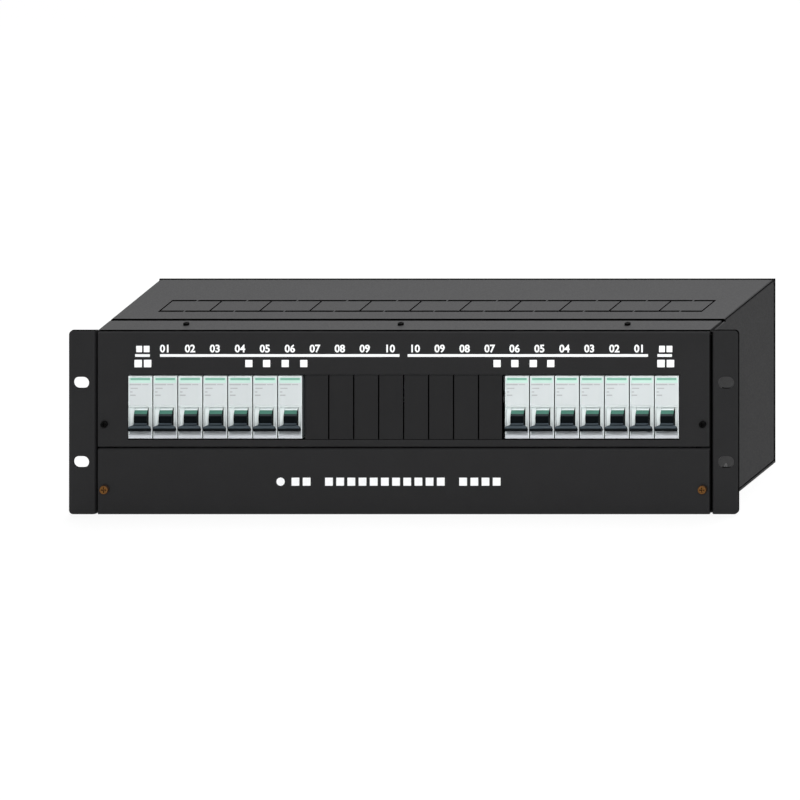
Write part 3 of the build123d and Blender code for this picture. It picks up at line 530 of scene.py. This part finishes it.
# The line on the lower cover: a disc and blocks at an even pitch, with gaps between its words
LINE_Z = -42.8
LINE_LEFT = -78.0
LINE_PITCH = 8.06
LINE_GAPS = (2, 14)
LINE_PLACES = 19
LINE_BLOCK = (5.6, 5.8)
DISC_X = -88.7
DISC_SIZE = 6.0
DISC_CORNER = 2.9
line = bmesh.new()
for place in range(LINE_PLACES):
    if place not in LINE_GAPS:
        ink(line, LINE_LEFT + place * LINE_PITCH, LINE_Z, *LINE_BLOCK)
ink(line, DISC_X, LINE_Z, DISC_SIZE, DISC_SIZE, DISC_CORNER)
piece("print_line", line, [PRINT], "chassis")

# Driver recesses of the countersunk case screws, as thin crosses of black painted shade on their heads.
# Each seat gives a middle, two directions across the head and the direction out of it
REAR = 117.85
SIDE = 223.75
UNDER = -66.1
SCREW_X = 215.9
SCREW_ROWS = (-40, 0, 40)
BASE_SCREWS = (19, 59, 99)
EAR_SCREW_Y = 20
RIM_SCREW_X = (-90, 90)
RIM_SCREW_Z = (-60.25, 60.25)
CROSS_REACH = 1.9
CROSS_HALF = 0.4
CROSS_THICKNESS = 0.05
seats = []
for x in (-SCREW_X, SCREW_X):
    side = math.copysign(1, x)
    seats += [((x, REAR, z), (1, 0, 0), (0, 0, 1), (0, 1, 0)) for z in SCREW_ROWS]
    seats += [((x, y, UNDER), (1, 0, 0), (0, 1, 0), (0, 0, -1)) for y in BASE_SCREWS]
    seats += [((side * SIDE, EAR_SCREW_Y, z), (0, 1, 0), (0, 0, 1), (side, 0, 0)) for z in SCREW_ROWS]
for x in RIM_SCREW_X:
    seats += [((x, REAR, z), (1, 0, 0), (0, 0, 1), (0, 1, 0)) for z in RIM_SCREW_Z]
recesses = bmesh.new()
for seat in seats:
    middle, across, along, out = (Vector(part) for part in seat)
    for first, second in ((across, along), (along, across)):
        corners = [
            (-CROSS_REACH, -CROSS_HALF),
            (CROSS_REACH, -CROSS_HALF),
            (CROSS_REACH, CROSS_HALF),
            (-CROSS_REACH, CROSS_HALF),
        ]
        if first.cross(second).dot(out) < 0:
            corners.reverse()
        spots = [middle + first * a + second * b for a, b in corners]
        rear = [recesses.verts.new(spot * MM) for spot in spots]
        face = [recesses.verts.new((spot + out * CROSS_THICKNESS) * MM) for spot in spots]
        recesses.faces.new(face)
        recesses.faces.new(list(reversed(rear)))
        for i in range(4):
            j = (i + 1) % 4
            recesses.faces.new((rear[i], rear[j], face[j], face[i]))
piece("case_screw_recess_shade", recesses, [SEAM], "chassis")

# Floor
FLOOR_REACH = 6.0
FLOOR_CELLS = 8
FLOOR_GREY = (0.8, 0.8, 0.8, 1)
FLOOR_ROUGH = 0.9
FLOOR_PLAY = 0.0002
FLOOR_SHARE = 0.88
FLOOR_FADE = (0.4, 1.6)
SKY_STRENGTH = 0.5
floor = bmesh.new()
bmesh.ops.create_grid(floor, x_segments=FLOOR_CELLS, y_segments=FLOOR_CELLS, size=FLOOR_REACH)
floor_data = bpy.data.meshes.new("floor")
floor.to_mesh(floor_data)
floor.free()
ground = bpy.data.objects.new("floor", floor_data)
ground.location = (0, 0, cad_low.z - FLOOR_PLAY)
scene.collection.objects.link(ground)
ground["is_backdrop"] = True


def paper(tree, shader, share):
    """Shows white to the camera and to reflections, and keeps near the object some of the shader's own shade."""
    make = tree.nodes.new
    link = tree.links.new
    path = make("ShaderNodeLightPath")
    mirror = make("ShaderNodeMath")
    mirror.operation = "MAXIMUM"
    link(path.outputs["Is Glossy Ray"], mirror.inputs[0])
    link(path.outputs["Is Transmission Ray"], mirror.inputs[1])
    seen = make("ShaderNodeMath")
    seen.operation = "MULTIPLY"
    link(path.outputs["Is Camera Ray"], seen.inputs[0])
    place = make("ShaderNodeTexCoord")
    away = make("ShaderNodeVectorMath")
    away.operation = "LENGTH"
    link(place.outputs["Object"], away.inputs[0])
    fade = make("ShaderNodeMapRange")
    fade.interpolation_type = "SMOOTHSTEP"
    fade.inputs["From Min"].default_value = FLOOR_FADE[0]
    fade.inputs["From Max"].default_value = FLOOR_FADE[1]
    fade.inputs["To Min"].default_value = share
    fade.inputs["To Max"].default_value = 1.0
    link(away.outputs["Value"], fade.inputs["Value"])
    link(fade.outputs["Result"], seen.inputs[1])
    either = make("ShaderNodeMath")
    either.operation = "MAXIMUM"
    link(mirror.outputs[0], either.inputs[0])
    link(seen.outputs[0], either.inputs[1])
    white = make("ShaderNodeEmission")
    white.inputs["Strength"].default_value = 1.0
    mix = make("ShaderNodeMixShader")
    link(either.outputs[0], mix.inputs["Fac"])
    link(shader.outputs[0], mix.inputs[1])
    link(white.outputs[0], mix.inputs[2])
    return mix


ground_mat = bpy.data.materials.new("floor_paper")
ground_mat.use_nodes = True
ground_tree = ground_mat.node_tree
matt = ground_tree.nodes["Principled BSDF"]
matt.inputs["Base Color"].default_value = FLOOR_GREY
matt.inputs["Roughness"].default_value = FLOOR_ROUGH
matt.inputs["Specular IOR Level"].default_value = 0.0
ground_mix = paper(ground_tree, matt, FLOOR_SHARE)
ground_tree.links.new(ground_mix.outputs[0], ground_tree.nodes["Material Output"].inputs["Surface"])
floor_data.materials.append(ground_mat)

# Studio: even sky with a white look to the camera, a soft key at the upper right and a large top lamp
world = bpy.data.worlds.new("studio")
world.use_nodes = True
scene.world = world
sky_tree = world.node_tree
sky = sky_tree.nodes["Background"]
sky.inputs["Strength"].default_value = SKY_STRENGTH
sky_mix = paper(sky_tree, sky, 1.0)
sky_tree.links.new(sky_mix.outputs[0], sky_tree.nodes["World Output"].inputs["Surface"])


def lamp(name, place, target, width, depth, watts):
    """Adds one soft rectangular lamp that the camera doesn't see."""
    light = bpy.data.lights.new(name, "AREA")
    light.shape = "RECTANGLE"
    light.size = width
    light.size_y = depth
    light.energy = watts
    holder = bpy.data.objects.new(name, light)
    holder.location = place
    aim = Vector(target) - Vector(place)
    holder.rotation_euler = aim.to_track_quat("-Z", "Y").to_euler()
    holder.visible_camera = False
    scene.collection.objects.link(holder)


lamp("key", place=(0.9, -1.9, 1.6), target=(0, 0, 0), width=0.9, depth=0.9, watts=50)
lamp("top", place=(0, 0.6, 2.0), target=(0, 0, 0), width=1.6, depth=1.4, watts=92)

# Camera: parallel rays that meet the front face at a slant, so that the face keeps its true shape.
# A step into the depth moves the image by these shares to the right and up
DEPTH_RIGHT = 0.3852
DEPTH_UP = 0.3125
CAMERA_DISTANCE = 3.0
VIEW_MIDDLE = (-2.62, PANEL_FRONT, 16.1)
VIEW_WIDTH = 0.57687
VIEW_CLIP = (0.05, 40.0)
sight = Vector((DEPTH_RIGHT, -1.0, DEPTH_UP)).normalized()
stand = Vector(VIEW_MIDDLE) * MM + sight * CAMERA_DISTANCE
slant = Matrix(
    (
        (1.0, 0.0, sight.x, stand.x),
        (0.0, 0.0, sight.y, stand.y),
        (0.0, 1.0, sight.z, stand.z),
        (0.0, 0.0, 0.0, 1.0),
    )
)
camera_data = bpy.data.cameras.new("camera")
camera_data.type = "ORTHO"
camera_data.ortho_scale = VIEW_WIDTH
camera_data.clip_start, camera_data.clip_end = VIEW_CLIP
camera = bpy.data.objects.new("camera", camera_data)
mount = bpy.data.objects.new("camera_mount", None)
scene.collection.objects.link(mount)
scene.collection.objects.link(camera)
camera.parent = mount
camera.matrix_parent_inverse = slant
scene.camera = camera

scene.view_settings.view_transform = "Standard"

low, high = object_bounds()
